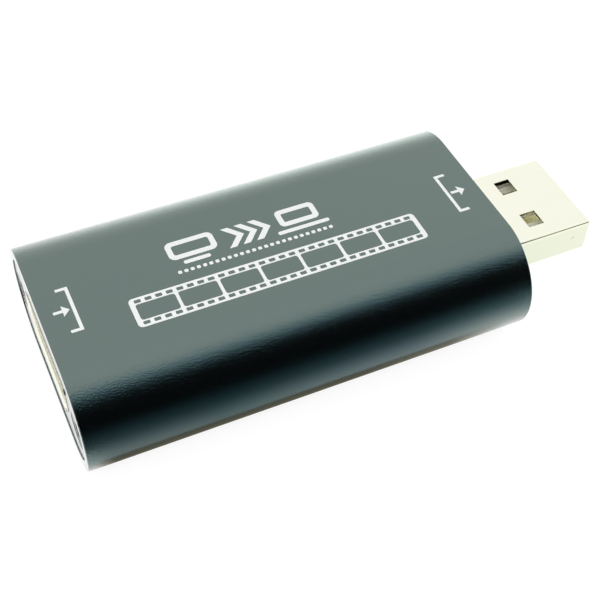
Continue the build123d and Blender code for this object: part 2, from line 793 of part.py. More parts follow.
# Chip capacitors and resistors: a body between two metal end caps
def chip_row(places, length, width, height, cap_length):
    with BuildPart() as bodies:
        with BuildSketch(Plane.XY.offset(board_top)):
            with Locations(*places):
                Rectangle(length - 2 * cap_length, width)
        extrude(amount=height)
    with BuildPart() as end_caps:
        with BuildSketch(Plane.XY.offset(board_top)):
            with Locations(*places):
                with GridLocations(length - cap_length, 0, 2, 1):
                    Rectangle(cap_length, width)
        extrude(amount=height)
    return bodies, end_caps


capacitor_y = -(chip_size / 2 + passive_gap + capacitor_width / 2)
capacitor_row_length = (capacitor_count - 1) * (capacitor_length + passive_gap)
capacitor_places = [
    (chip_x - capacitor_row_length / 2 + index * (capacitor_length + passive_gap), capacitor_y)
    for index in range(capacitor_count)
]
capacitor_bodies, capacitor_end_caps = chip_row(
    capacitor_places, capacitor_length, capacitor_width, capacitor_height, capacitor_cap_length
)
save(capacitor_bodies, "capacitor_bodies")
save(capacitor_end_caps, "capacitor_end_caps")

resistor_x = chip_x - chip_size / 2 - passive_gap - resistor_length / 2
resistor_places = [
    (resistor_x, (index - (resistor_count - 1) / 2) * resistor_pitch) for index in range(resistor_count)
]
resistor_bodies, resistor_end_caps = chip_row(
    resistor_places, resistor_length, resistor_width, resistor_height, resistor_cap_length
)
save(resistor_bodies, "resistor_bodies")
save(resistor_end_caps, "resistor_end_caps")

print("whole length", whole_length, "board", board_end - board_start, "by", 2 * board_half)
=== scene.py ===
import json
import math

import bmesh
import bpy
from mathutils import Matrix, Vector
from mathutils.geometry import tessellate_polygon


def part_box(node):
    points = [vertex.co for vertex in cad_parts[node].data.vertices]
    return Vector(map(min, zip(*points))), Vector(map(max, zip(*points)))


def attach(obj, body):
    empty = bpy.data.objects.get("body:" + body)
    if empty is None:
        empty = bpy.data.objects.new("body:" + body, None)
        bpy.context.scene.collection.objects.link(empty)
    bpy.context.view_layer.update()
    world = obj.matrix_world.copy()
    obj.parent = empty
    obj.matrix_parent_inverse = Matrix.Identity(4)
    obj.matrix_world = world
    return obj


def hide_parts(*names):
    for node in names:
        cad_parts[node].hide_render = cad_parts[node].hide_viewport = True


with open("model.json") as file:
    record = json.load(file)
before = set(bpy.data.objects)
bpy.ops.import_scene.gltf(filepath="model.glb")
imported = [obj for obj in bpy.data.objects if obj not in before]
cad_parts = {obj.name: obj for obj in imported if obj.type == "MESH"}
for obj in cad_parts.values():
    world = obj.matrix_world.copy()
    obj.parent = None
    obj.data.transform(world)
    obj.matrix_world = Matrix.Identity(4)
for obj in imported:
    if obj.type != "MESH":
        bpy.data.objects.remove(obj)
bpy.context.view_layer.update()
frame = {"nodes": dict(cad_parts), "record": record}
mm = 0.001

# Camera, solved from the photo's outlines; the image is taken as 600 x 600
cameraFacts = {
    "place": (-39.66 * mm, -77.20 * mm, 98.75 * mm),
    "right": (0.91159, -0.41057, 0.02089),
    "up": (0.29394, 0.68647, 0.66510),
    "focalPixels": 1123.02,
    "imagePixels": 600,
    "sensorWidth": 36.0,
    "nearest": 1 * mm,
    "farthest": 20000 * mm,
}


def makeCamera(facts):
    camera = bpy.data.cameras.new("photoCamera")
    camera.sensor_width = facts["sensorWidth"]
    camera.lens = facts["focalPixels"] / facts["imagePixels"] * facts["sensorWidth"]
    camera.clip_start = facts["nearest"]
    camera.clip_end = facts["farthest"]
    cameraObject = bpy.data.objects.new("photoCamera", camera)
    right = Vector(facts["right"]).normalized()
    up = Vector(facts["up"])
    back = right.cross(up).normalized()
    up = back.cross(right)
    turn = Matrix((right, up, back)).transposed()
    cameraObject.matrix_world = Matrix.Translation(facts["place"]) @ turn.to_4x4()
    bpy.context.scene.collection.objects.link(cameraObject)
    bpy.context.scene.camera = cameraObject


makeCamera(cameraFacts)
bpy.context.scene.view_settings.view_transform = "Standard"
print("stage: camera made")

# Helpers for materials

nodeStep = 200  # between neighbours in the node editor
mixFirst, mixSecond, mixResult = 6, 7, 2  # the colour sockets of a Mix node


def newMaterial(name):
    material = bpy.data.materials.new(name)
    material.use_nodes = True
    nodes = material.node_tree.nodes
    nodes.clear()
    output = nodes.new("ShaderNodeOutputMaterial")
    shader = nodes.new("ShaderNodeBsdfPrincipled")
    output.location = (600, 0)
    shader.location = (300, 0)
    material.node_tree.links.new(shader.outputs["BSDF"], output.inputs["Surface"])
    return material, shader


def addNode(tree, kind, place, **settings):
    node = tree.nodes.new(kind)
    node.location = place
    for key, value in settings.items():
        setattr(node, key, value)
    return node


def newGroup(name, inputs, outputs):
    group = bpy.data.node_groups.new(name, "ShaderNodeTree")
    for label, kind, value in inputs:
        socket = group.interface.new_socket(label, in_out="INPUT", socket_type="NodeSocket" + kind)
        socket.default_value = value
    for label, kind in outputs:
        group.interface.new_socket(label, in_out="OUTPUT", socket_type="NodeSocket" + kind)
    entry = addNode(group, "NodeGroupInput", (-800, 0))
    leave = addNode(group, "NodeGroupOutput", (600, 0))
    return group, entry, leave


def placeGroup(tree, group, place, **values):
    node = addNode(tree, "ShaderNodeGroup", place)
    node.node_tree = group
    for key, value in values.items():
        node.inputs[key].default_value = value
    return node


# Shared effects, each a group with its own inputs


def addCoords(group, place):
    return addNode(group, "ShaderNodeTexCoord", place).outputs["Object"]


def addNoise(group, place, entry, coords):
    # noise at the given coordinates, with the group's Scale and Detail
    noise = addNode(group, "ShaderNodeTexNoise", place)
    group.links.new(coords, noise.inputs["Vector"])
    group.links.new(entry.outputs["Scale"], noise.inputs["Scale"])
    group.links.new(entry.outputs["Detail"], noise.inputs["Detail"])
    return noise


def spreadNoise(group, place, noise, entry):
    # stretches the middle of the noise, from Low to High, to a mask from zero to one
    spread = addNode(group, "ShaderNodeMapRange", place)
    group.links.new(noise.outputs["Fac"], spread.inputs["Value"])
    group.links.new(entry.outputs["Low"], spread.inputs["From Min"])
    group.links.new(entry.outputs["High"], spread.inputs["From Max"])
    return spread.outputs["Result"]


def makeGrainGroup():
    # fine blasted or moulded grain: a height for bump and a mask that varies finely
    group, entry, leave = newGroup(
        "fineGrain",
        [
            ("Scale", "Float", 9000.0),
            ("Detail", "Float", 3.0),
            ("Roughness", "Float", 0.6),
            ("Low", "Float", 0.3),
            ("High", "Float", 0.7),
        ],
        [("Height", "Float"), ("Mask", "Float")],
    )
    noise = addNoise(group, (-500, 0), entry, addCoords(group, (-800, 200)))
    group.links.new(entry.outputs["Roughness"], noise.inputs["Roughness"])
    group.links.new(noise.outputs["Fac"], leave.inputs["Height"])
    group.links.new(spreadNoise(group, (-200, 150), noise, entry), leave.inputs["Mask"])
    return group


def makeCloudGroup():
    # wide, soft variation, as handling leaves on a finish
    group, entry, leave = newGroup(
        "softCloud",
        [
            ("Scale", "Float", 120.0),
            ("Detail", "Float", 4.0),
            ("Stretch", "Vector", (1.0, 1.0, 1.0)),
            ("Low", "Float", 0.35),
            ("High", "Float", 0.65),
        ],
        [("Mask", "Float")],
    )
    link = group.links.new
    mapping = addNode(group, "ShaderNodeMapping", (-550, 200))
    link(addCoords(group, (-800, 200)), mapping.inputs["Vector"])
    link(entry.outputs["Stretch"], mapping.inputs["Scale"])
    noise = addNoise(group, (-300, 0), entry, mapping.outputs["Vector"])
    link(spreadNoise(group, (-50, 0), noise, entry), leave.inputs["Mask"])
    return group


def makeWearGroup():
    # brightens where the surface turns a corner, broken up by noise
    group, entry, leave = newGroup(
        "edgeWear",
        [
            ("Start", "Float", 0.52),
            ("End", "Float", 0.62),
            ("Scale", "Float", 900.0),
            ("Detail", "Float", 5.0),
        ],
        [("Mask", "Float")],
    )
    link = group.links.new
    noise = addNoise(group, (-550, -250), entry, addCoords(group, (-800, -250)))
    geometry = addNode(group, "ShaderNodeNewGeometry", (-600, 150))
    ramp = addNode(group, "ShaderNodeMapRange", (-300, 150))
    link(geometry.outputs["Pointiness"], ramp.inputs["Value"])
    link(entry.outputs["Start"], ramp.inputs["From Min"])
    link(entry.outputs["End"], ramp.inputs["From Max"])
    product = addNode(group, "ShaderNodeMath", (0, 0), operation="MULTIPLY")
    link(ramp.outputs["Result"], product.inputs[0])
    link(noise.outputs["Fac"], product.inputs[1])
    link(product.outputs["Value"], leave.inputs["Mask"])
    return group


def makeBoxGroup():
    # one inside a box and its mirror images about the object's middle planes, zero elsewhere
    group, entry, leave = newGroup(
        "mirroredBox",
        [("Middle", "Vector", (0.0, 0.0, 0.0)), ("Half", "Vector", (1.0, 1.0, 1.0))],
        [("Mask", "Float")],
    )
    link = group.links.new
    folded = addNode(group, "ShaderNodeVectorMath", (-600, -200), operation="ABSOLUTE")
    shift = addNode(group, "ShaderNodeVectorMath", (-400, 0), operation="SUBTRACT")
    scale = addNode(group, "ShaderNodeVectorMath", (-200, 0), operation="DIVIDE")
    reach = addNode(group, "ShaderNodeVectorMath", (-50, 0), operation="ABSOLUTE")
    split = addNode(group, "ShaderNodeSeparateXYZ", (100, 0))
    first = addNode(group, "ShaderNodeMath", (250, 100), operation="MAXIMUM")
    second = addNode(group, "ShaderNodeMath", (350, 0), operation="MAXIMUM")
    inside = addNode(group, "ShaderNodeMath", (450, 0), operation="LESS_THAN")
    inside.inputs[1].default_value = 1  # the box's sides, after the division
    link(addCoords(group, (-800, -200)), folded.inputs[0])
    link(folded.outputs["Vector"], shift.inputs[0])
    link(entry.outputs["Middle"], shift.inputs[1])
    link(shift.outputs["Vector"], scale.inputs[0])
    link(entry.outputs["Half"], scale.inputs[1])
    link(scale.outputs["Vector"], reach.inputs[0])
    link(reach.outputs["Vector"], split.inputs["Vector"])
    link(split.outputs["X"], first.inputs[0])
    link(split.outputs["Y"], first.inputs[1])
    link(first.outputs["Value"], second.inputs[0])
    link(split.outputs["Z"], second.inputs[1])
    link(second.outputs["Value"], inside.inputs[0])
    link(inside.outputs["Value"], leave.inputs["Mask"])
    return group


grainGroup = makeGrainGroup()
cloudGroup = makeCloudGroup()
wearGroup = makeWearGroup()
boxGroup = makeBoxGroup()


def mixColour(tree, place, mask, colourA, colourB):
    mix = addNode(tree, "ShaderNodeMix", place, data_type="RGBA")
    tree.links.new(mask, mix.inputs["Factor"])
    for socket, colour in ((mix.inputs[mixFirst], colourA), (mix.inputs[mixSecond], colourB)):
        if isinstance(colour, tuple):
            socket.default_value = (*colour, 1.0)
        else:
            tree.links.new(colour, socket)
    return mix.outputs[mixResult]


def mapValue(tree, place, mask, low, high):
    span = addNode(tree, "ShaderNodeMapRange", place)
    span.inputs["To Min"].default_value = low
    span.inputs["To Max"].default_value = high
    tree.links.new(mask, span.inputs["Value"])
    return span.outputs["Result"]


def addBump(tree, place, height, shader, strength, distance):
    bump = addNode(tree, "ShaderNodeBump", place)
    bump.inputs["Strength"].default_value = strength
    bump.inputs["Distance"].default_value = distance
    tree.links.new(height, bump.inputs["Height"])
    tree.links.new(bump.outputs["Normal"], shader.inputs["Normal"])


# What a finish has where its own values don't say otherwise
plainFinish = {
    "specular": 0.5,
    "coat": 0.0,
    "coatRoughness": 0.03,
    "grainRoughness": 0.6,
    "stretch": (1.0, 1.0, 1.0),
    "paintedLightShadeAndMarks": [],
}


def finishMaterial(name, ownFacts):
    # colour and roughness vary through a cloud and a grain; bump comes from the grain
    facts = {**plainFinish, **ownFacts}
    material, shader = newMaterial(name)
    tree = material.node_tree
    shader.inputs["Metallic"].default_value = facts["metallic"]
    shader.inputs["Specular IOR Level"].default_value = facts["specular"]
    shader.inputs["Coat Weight"].default_value = facts["coat"]
    shader.inputs["Coat Roughness"].default_value = facts["coatRoughness"]
    grain = placeGroup(
        tree, grainGroup, (-700, -200), Scale=facts["grainScale"], Roughness=facts["grainRoughness"]
    )
    cloud = placeGroup(
        tree, cloudGroup, (-700, 100), Scale=facts["cloudScale"], Stretch=facts["stretch"]
    )
    clouded = cloud.outputs["Mask"]
    colour = mixColour(tree, (-400, 200), clouded, facts["colour"], facts["colourCloud"])
    colour = mixColour(tree, (-200, 250), grain.outputs["Mask"], colour, facts["colourGrain"])
    if "wearColour" in facts:
        wear = placeGroup(tree, wearGroup, (-700, 400))
        colour = mixColour(tree, (0, 300), wear.outputs["Mask"], colour, facts["wearColour"])
    for index, (low, high, patchColour, patchMetallic) in enumerate(facts["paintedLightShadeAndMarks"]):
        # a box and its mirror images with a colour and metallic of their own, between two corners
        # in mm: painted light and painted shade inside the socket and the plug, and a small mark
        # outside the plug
        low, high = Vector(low) * mm, Vector(high) * mm
        place = (-700, 600 + nodeStep * index)
        patch = placeGroup(tree, boxGroup, place, Middle=(low + high) / 2, Half=(high - low) / 2)
        inside = patch.outputs["Mask"]
        colour = mixColour(tree, (0, 600 + nodeStep * index), inside, colour, patchColour)
        if patchMetallic != facts["metallic"]:
            metal = mapValue(tree, (0, 100), inside, facts["metallic"], patchMetallic)
            tree.links.new(metal, shader.inputs["Metallic"])
    tree.links.new(colour, shader.inputs["Base Color"])
    rough = mapValue(tree, (-400, -50), clouded, *facts["roughness"])
    tree.links.new(rough, shader.inputs["Roughness"])
    addBump(tree, (0, -300), grain.outputs["Height"], shader, facts["bump"], facts["bumpDepth"])
    return material


materialFacts = {
    "tube": {
        "metallic": 1.0,
        "colour": (0.121, 0.172, 0.157),
        "colourCloud": (0.126, 0.179, 0.163),
        "colourGrain": (0.124, 0.176, 0.161),
        "coat": 1.0,
        "coatRoughness": 0.14,
        "roughness": (0.17, 0.19),
        "grainScale": 7000.0,
        "grainRoughness": 0.25,
        "cloudScale": 40.0,
        "bump": 0.8,
        "bumpDepth": 0.00005,
    },
    "plate": {
        "metallic": 1.0,
        "colour": (0.045, 0.050, 0.049),
        "colourCloud": (0.055, 0.060, 0.059),
        "colourGrain": (0.050, 0.055, 0.054),
        "coat": 1.0,
        "coatRoughness": 0.12,
        "roughness": (0.30, 0.36),
        "grainScale": 9000.0,
        "cloudScale": 150.0,
        "bump": 0.06,
        "bumpDepth": 0.00001,
    },
    "screw": {
        "metallic": 1.0,
        "colour": (0.10, 0.10, 0.10),
        "colourCloud": (0.14, 0.14, 0.14),
        "colourGrain": (0.12, 0.12, 0.12),
        "wearColour": (0.5, 0.48, 0.45),
        "roughness": (0.25, 0.38),
        "grainScale": 6000.0,
        "cloudScale": 500.0,
        "bump": 0.08,
        "bumpDepth": 0.00002,
    },
    "socket_shell": {
        "metallic": 1.0,
        "colour": (0.93, 0.92, 0.78),
        "colourCloud": (0.96, 0.95, 0.84),
        "colourGrain": (0.94, 0.93, 0.81),
        "roughness": (0.2, 0.3),
        "grainScale": 5000.0,
        "cloudScale": 200.0,
        "stretch": (1.0, 6.0, 6.0),
        "paintedLightShadeAndMarks": [
            # painted light: the inner walls of the mouth are paler and near-matt, so they read as
            # lit cream where bounced light would leave them darker
            ((22.0, -1.0, 0.0), (31.53, 8.0, 12.0), (0.98, 0.96, 0.78), 0.3),  # inside the mouth
        ],
        "bump": 0.04,
        "bumpDepth": 0.00001,
    },
    "plug_shell": {
        "metallic": 1.0,
        "colour": (0.975, 0.975, 0.83),
        "colourCloud": (0.985, 0.985, 0.85),
        "colourGrain": (0.98, 0.98, 0.84),
        "roughness": (0.15, 0.2),
        "grainScale": 5000.0,
        "cloudScale": 200.0,
        "stretch": (1.0, 5.0, 5.0),
        "paintedLightShadeAndMarks": [
            # painted shade: the upper inner sides of the plug's shell are near black, standing for
            # the shade under its top
            ((19.7, 3.9, 5.08), (29.3, 5.73, 7.5), (0.03, 0.027, 0.02), 1.0),  # upper inner side
            # painted light: the lower inner sides are pale near-matt cream, so they read lit
            # through the windows
            ((19.7, 3.9, 3.2), (29.3, 5.73, 5.08), (0.98, 0.96, 0.82), 0.1),  # lower inner side
            ((29.60, 5.9, 5.50), (29.80, 6.1, 5.62), (0.55, 0.55, 0.50), 1.0),  # a mark outside
            ((29.72, 5.9, 5.55), (29.90, 6.1, 5.75), (0.72, 0.72, 0.66), 1.0),
        ],
        "bump": 0.04,
        "bumpDepth": 0.00001,
    },
    "black_plastic": {
        "metallic": 0.0,
        "colour": (0.018, 0.018, 0.019),
        "colourCloud": (0.026, 0.026, 0.027),
        "colourGrain": (0.022, 0.022, 0.023),
        "roughness": (0.42, 0.5),
        "grainScale": 7000.0,
        "cloudScale": 300.0,
        "bump": 0.1,
        "bumpDepth": 0.00002,
    },
    "plug_plastic": {
        "metallic": 0.0,
        "colour": (0.97, 0.955, 0.77),
        "colourCloud": (0.98, 0.97, 0.81),
        "colourGrain": (0.975, 0.96, 0.79),
        "roughness": (0.38, 0.48),
        "grainScale": 7000.0,
        "cloudScale": 300.0,
        "bump": 0.1,
        "bumpDepth": 0.00002,
    },
    "contact": {
        "metallic": 0.85,
        "colour": (0.95, 0.90, 0.62),
        "colourCloud": (0.97, 0.93, 0.68),
        "colourGrain": (0.96, 0.91, 0.65),
        "roughness": (0.22, 0.34),
        "grainScale": 5000.0,
        "cloudScale": 400.0,
        "bump": 0.05,
        "bumpDepth": 0.00001,
    },
    "board": {
        "metallic": 0.0,
        "colour": (0.012, 0.075, 0.035),
        "colourCloud": (0.018, 0.105, 0.05),
        "colourGrain": (0.015, 0.09, 0.042),
        "roughness": (0.3, 0.42),
        "grainScale": 4000.0,
        "cloudScale": 350.0,
        "bump": 0.15,
        "bumpDepth": 0.00003,
    },
    "package": {
        "metallic": 0.0,
        "colour": (0.02, 0.02, 0.021),
        "colourCloud": (0.03, 0.03, 0.031),
        "colourGrain": (0.025, 0.025, 0.026),
        "roughness": (0.5, 0.62),
        "grainScale": 8000.0,
        "cloudScale": 400.0,
        "bump": 0.12,
        "bumpDepth": 0.00002,
    },
    "tin": {
        "metallic": 1.0,
        "colour": (0.70, 0.70, 0.68),
        "colourCloud": (0.78, 0.78, 0.76),
        "colourGrain": (0.74, 0.74, 0.72),
        "roughness": (0.28, 0.42),
        "grainScale": 6000.0,
        "cloudScale": 500.0,
        "bump": 0.08,
        "bumpDepth": 0.00002,
    },
    "ceramic": {
        "metallic": 0.0,
        "colour": (0.36, 0.24, 0.13),
        "colourCloud": (0.44, 0.31, 0.18),
        "colourGrain": (0.40, 0.27, 0.15),
        "roughness": (0.5, 0.6),
        "grainScale": 9000.0,
        "cloudScale": 700.0,
        "bump": 0.1,
        "bumpDepth": 0.00002,
    },
    "resistor": {
        "metallic": 0.0,
        "colour": (0.02, 0.02, 0.022),
        "colourCloud": (0.035, 0.035, 0.04),
        "colourGrain": (0.027, 0.027, 0.03),
        "roughness": (0.25, 0.35),
        "grainScale": 9000.0,
        "cloudScale": 800.0,
        "bump": 0.06,
        "bumpDepth": 0.00001,
    },
    "ferrite": {
        "metallic": 0.0,
        "colour": (0.05, 0.05, 0.052),
        "colourCloud": (0.075, 0.075, 0.078),
        "colourGrain": (0.06, 0.06, 0.063),
        "roughness": (0.55, 0.68),
        "grainScale": 5000.0,
        "cloudScale": 600.0,
        "bump": 0.2,
        "bumpDepth": 0.00004,
    },
    "print": {
        "metallic": 0.0,
        "colour": (0.76, 0.78, 0.77),
        "colourCloud": (0.79, 0.81, 0.80),
        "colourGrain": (0.73, 0.75, 0.74),
        "roughness": (0.5, 0.6),
        "grainScale": 7000.0,
        "cloudScale": 500.0,
        "bump": 0.1,
        "bumpDepth": 0.00001,
    },
}
materials = {slot: finishMaterial(slot, facts) for slot, facts in materialFacts.items()}

slotOf = {entry["node"]: entry["material_slot"] for entry in frame["record"]["subparts"]}
for node, piece in frame["nodes"].items():
    piece.data.materials.clear()
    piece.data.materials.append(materials[slotOf[node]])
print("stage: materials placed on", len(frame["nodes"]), "nodes")

# Tube skin: the tube's own form, its flat top lowered by the ink's thickness so that the
# print stands on it without growing the object

tubeFacts = {
    "inkThickness": 0.02 * mm,
    "outsideShare": 0.95,  # of the radius, beyond which a corner is on the outside
    "weldDistance": 0.0001 * mm,
}


def tubeNormals(mesh, facts):
    # exact normals: round the two sides on the outside, and each face's own elsewhere
    low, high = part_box("body_tube")
    middle, radius = (low.z + high.z) / 2, (high.z - low.z) / 2
    straight = high.y - radius
    normals = []
    for polygon in mesh.polygons:
        for index in polygon.vertices:
            spot = mesh.vertices[index].co
            out = Vector((0, spot.y - max(-straight, min(straight, spot.y)), spot.z - middle))
            if out.length > radius * facts["outsideShare"] and out.dot(polygon.normal) > 0:
                lean = polygon.normal.x
                normals.append(out.normalized() * math.sqrt(1 - lean * lean) + Vector((lean, 0, 0)))
            else:
                normals.append(polygon.normal)
    return normals


def makeTubeSkin(facts):
    source = frame["nodes"]["body_tube"]
    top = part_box("body_tube")[1].z
    shape = bmesh.new()
    shape.from_mesh(source.data)
    bmesh.ops.remove_doubles(shape, verts=shape.verts, dist=facts["weldDistance"])
    for vertex in shape.verts:
        if top - vertex.co.z < facts["inkThickness"]:
            vertex.co.z = top - facts["inkThickness"]
    mesh = bpy.data.meshes.new("tubeSkin")
    shape.to_mesh(mesh)
    shape.free()
    skin = bpy.data.objects.new("tubeSkin", mesh)
    bpy.context.scene.collection.objects.link(skin)
    mesh.normals_split_custom_set(tubeNormals(mesh, facts))
    mesh.materials.append(materials["tube"])
    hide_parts("body_tube")
    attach(skin, "root")


makeTubeSkin(tubeFacts)
print("stage: tube skin made")

# White print: plain signs in the places where such a stick is printed

printFacts = {
    "strokeBold": 0.62 * mm,
    "strokeFine": 0.36 * mm,
    "depth": 0.04 * mm,
    "innerShare": 1 / 3,  # of a frame's corner radius, the least that its inner corner keeps
    "cornerSteps": 5,
}


def flatShape(outline, holes=()):
    # an outline and its holes, as lists of (x, y) points
    return [list(outline)] + [list(hole) for hole in holes]


def roundRect(centre, size, radius, steps):
    points = []
    halfX, halfY = size[0] / 2 - radius, size[1] / 2 - radius
    for quarter in range(4):
        signX = 1 if quarter in (0, 3) else -1
        signY = 1 if quarter in (0, 1) else -1
        for step in range(steps + 1):
            angle = math.pi / 2 * (quarter + step / steps)
            points.append((
                centre[0] + signX * halfX + radius * math.cos(angle),
                centre[1] + signY * halfY + radius * math.sin(angle),
            ))
    return points


def frameShape(centre, size, stroke, radius, steps):
    inner = (size[0] - 2 * stroke, size[1] - 2 * stroke)
    innerRadius = max(radius - stroke, radius * printFacts["innerShare"])
    hole = roundRect(centre, inner, innerRadius, steps)
    return flatShape(roundRect(centre, size, radius, steps), [hole])


def chevron(tip, size, stroke):
    # an arrow head pointing along +X, its tip at the given place
    depth, height = size
    slant = math.hypot(depth, height / 2)
    run = stroke * slant / (height / 2)
    return flatShape([
        (tip[0], tip[1]),
        (tip[0] - depth, tip[1] + height / 2),
        (tip[0] - depth - run, tip[1] + height / 2),
        (tip[0] - run, tip[1]),
        (tip[0] - depth - run, tip[1] - height / 2),
        (tip[0] - depth, tip[1] - height / 2),
    ])


def arrow(tip, length, head, stroke):
    return flatShape([
        (tip[0], tip[1]),
        (tip[0] - head, tip[1] + head),
        (tip[0] - head, tip[1] + stroke / 2),
        (tip[0] - length, tip[1] + stroke / 2),
        (tip[0] - length, tip[1] - stroke / 2),
        (tip[0] - head, tip[1] - stroke / 2),
        (tip[0] - head, tip[1] - head),
    ])


def bracket(x, y, size, stroke, side):
    # a square bracket, open towards -X if side is 1 and towards +X if it is -1
    arm, height = size
    return flatShape([
        (x, y + height / 2),
        (x - side * arm, y + height / 2),
        (x - side * arm, y + height / 2 - stroke),
        (x - side * stroke, y + height / 2 - stroke),
        (x - side * stroke, y - height / 2 + stroke),
        (x - side * arm, y - height / 2 + stroke),
        (x - side * arm, y - height / 2),
        (x, y - height / 2),
    ])


def makePrint(name, shapes):
    # closed raised ink: a lower and an upper face for each shape, joined by its walls
    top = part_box("body_tube")[1].z
    low = top - printFacts["depth"]
    shape = bmesh.new()
    for loops in shapes:
        flat = [[Vector((x, y, 0)) for x, y in loop] for loop in loops]
        triangles = tessellate_polygon(flat)
        points = [point for loop in flat for point in loop]
        lower = [shape.verts.new((p.x, p.y, low)) for p in points]
        upper = [shape.verts.new((p.x, p.y, top)) for p in points]
        for a, b, c in triangles:
            shape.faces.new((upper[a], upper[b], upper[c]))
            shape.faces.new((lower[c], lower[b], lower[a]))
        start = 0
        for loop in loops:
            count = len(loop)
            for index in range(count):
                here, there = start + index, start + (index + 1) % count
                shape.faces.new((lower[here], lower[there], upper[there], upper[here]))
            start += count
    bmesh.ops.recalc_face_normals(shape, faces=shape.faces)
    mesh = bpy.data.meshes.new(name)
    shape.to_mesh(mesh)
    shape.free()
    mesh.materials.append(materials["print"])
    piece = bpy.data.objects.new(name, mesh)
    bpy.context.scene.collection.objects.link(piece)
    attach(piece, "root")


def at(x, y):
    # a place on the printed face, from the tube's input end and its middle line
    return (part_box("body_tube")[0].x + x, y)


def roundPlate(centre, size, radius):
    return flatShape(roundRect(centre, size, radius, printFacts["cornerSteps"]))


def roundFrame(centre, size, radius):
    return frameShape(centre, size, printFacts["strokeBold"], radius, printFacts["cornerSteps"])


rowFacts = {
    "start": 14.75 * mm,
    "end": 32.75 * mm,
    "top": 4.30 * mm,
    "foot": 0.75 * mm,
    "screenWidth": 5.4 * mm,
    "screenRaise": 0.9 * mm,
    "screenRadius": 0.7 * mm,
    "bookWidth": 4.6 * mm,
    "bookRaise": 1.0 * mm,
    "bookRadius": 0.6 * mm,
    "screenFootWidth": 3.0 * mm,
    "bookFootWidth": 6.0 * mm,
    "footHeight": 0.5 * mm,
    "footRadius": 0.2 * mm,
    "chevronCount": 3,
    "chevronStart": 8.6 * mm,
    "chevronPitch": 1.55 * mm,
    "chevronSize": (1.35 * mm, 3.0 * mm),
}


def makeSigns(facts):
    # screen, arrow heads and an open notebook in a row
    height = facts["top"] - facts["foot"]
    middle = (facts["top"] + facts["foot"]) / 2
    footMiddle = facts["foot"] + facts["footHeight"] / 2
    shapes = []
    for x, name in (
        (facts["start"] + facts["screenWidth"] / 2, "screen"),
        (facts["end"] - facts["bookFootWidth"] / 2, "book"),
    ):
        rise = facts[name + "Raise"]
        size = (facts[name + "Width"], height - rise)
        shapes.append(roundFrame(at(x, middle + rise / 2), size, facts[name + "Radius"]))
        size = (facts[name + "FootWidth"], facts["footHeight"])
        shapes.append(roundPlate(at(x, footMiddle), size, facts["footRadius"]))
    for index in range(facts["chevronCount"]):
        x = facts["start"] + facts["chevronStart"] + index * facts["chevronPitch"]
        shapes.append(chevron(at(x, middle), facts["chevronSize"], printFacts["strokeBold"]))
    makePrint("printSigns", shapes)


dashFacts = {
    "count": 26,
    "middle": -0.17 * mm,
    "lengthShare": 0.6,
    "height": 0.42 * mm,
    "radius": 0.12 * mm,
}


def makeDashes(facts):
    # fine dashes under the signs, as long as their row
    pitch = (rowFacts["end"] - rowFacts["start"]) / facts["count"]
    size = (pitch * facts["lengthShare"], facts["height"])
    shapes = []
    for index in range(facts["count"]):
        place = at(rowFacts["start"] + (index + 0.5) * pitch, facts["middle"])
        shapes.append(roundPlate(place, size, facts["radius"]))
    makePrint("printDashes", shapes)


stripFacts = {
    "start": 8.8 * mm,
    "end": 41.5 * mm,
    "top": -1.75 * mm,
    "foot": -5.75 * mm,
    "radius": 0.5 * mm,
    "endMargin": 0.35 * mm,
    "frameCount": 7,
    "frameBar": 0.34 * mm,
    "frameEdge": 0.9 * mm,
    "frameRadius": 0.3 * mm,
    "holesPerFrame": 4,
    "holeSize": (0.72 * mm, 0.46 * mm),
    "holeInset": 0.5 * mm,
    "holeRadius": 0.1 * mm,
}


def makeFilmStrip(facts):
    # a strip of film: frames in the middle, a row of holes along each edge
    steps = printFacts["cornerSteps"]
    start, end, top, foot = (facts[name] for name in ("start", "end", "top", "foot"))
    middle = at((start + end) / 2, (top + foot) / 2)
    outline = roundRect(middle, (end - start, top - foot), facts["radius"], steps)
    inside = end - start - 2 * facts["endMargin"]
    holes = []

    def addRow(count, y, size, radius):
        pitch = inside / count
        for index in range(count):
            x = start + facts["endMargin"] + (index + 0.5) * pitch
            holes.append(roundRect(at(x, y), size, radius, steps))

    frameCount = facts["frameCount"]
    frameSize = (inside / frameCount - facts["frameBar"], top - foot - 2 * facts["frameEdge"])
    addRow(frameCount, (top + foot) / 2, frameSize, facts["frameRadius"])
    for y in (top - facts["holeInset"], foot + facts["holeInset"]):
        addRow(frameCount * facts["holesPerFrame"], y, facts["holeSize"], facts["holeRadius"])
    makePrint("printFilmStrip", [flatShape(outline, holes)])


markFacts = {
    "printInputMark": {
        "middle": (2.7 * mm, -0.6 * mm),
        "bracketAt": 1.05 * mm,
        "tipAt": 0.45 * mm,
        "side": 1,
    },
    "printOutputMark": {
        "middle": (47.5 * mm, -0.6 * mm),
        "bracketAt": -1.05 * mm,
        "tipAt": 1.25 * mm,
        "side": -1,
    },
}
arrowFacts = {
    "bracketSize": (1.3 * mm, 6.2 * mm),
    "length": 1.7 * mm,
    "head": 0.75 * mm,
}


def makeMark(name, facts):
    # an arrow into or out of a bracket, beside one end
    x, y = facts["middle"]
    fine = printFacts["strokeFine"]
    makePrint(name, [
        bracket(*at(x + facts["bracketAt"], y), arrowFacts["bracketSize"], fine, facts["side"]),
        arrow(at(x + facts["tipAt"], y), arrowFacts["length"], arrowFacts["head"], fine),
    ])


makeSigns(rowFacts)
makeDashes(dashFacts)
makeFilmStrip(stripFacts)
for name, facts in markFacts.items():
    makeMark(name, facts)
print("stage: print made")

# Stage: a pale floor, a white surround, a soft lamp, and cards that only gloss finds

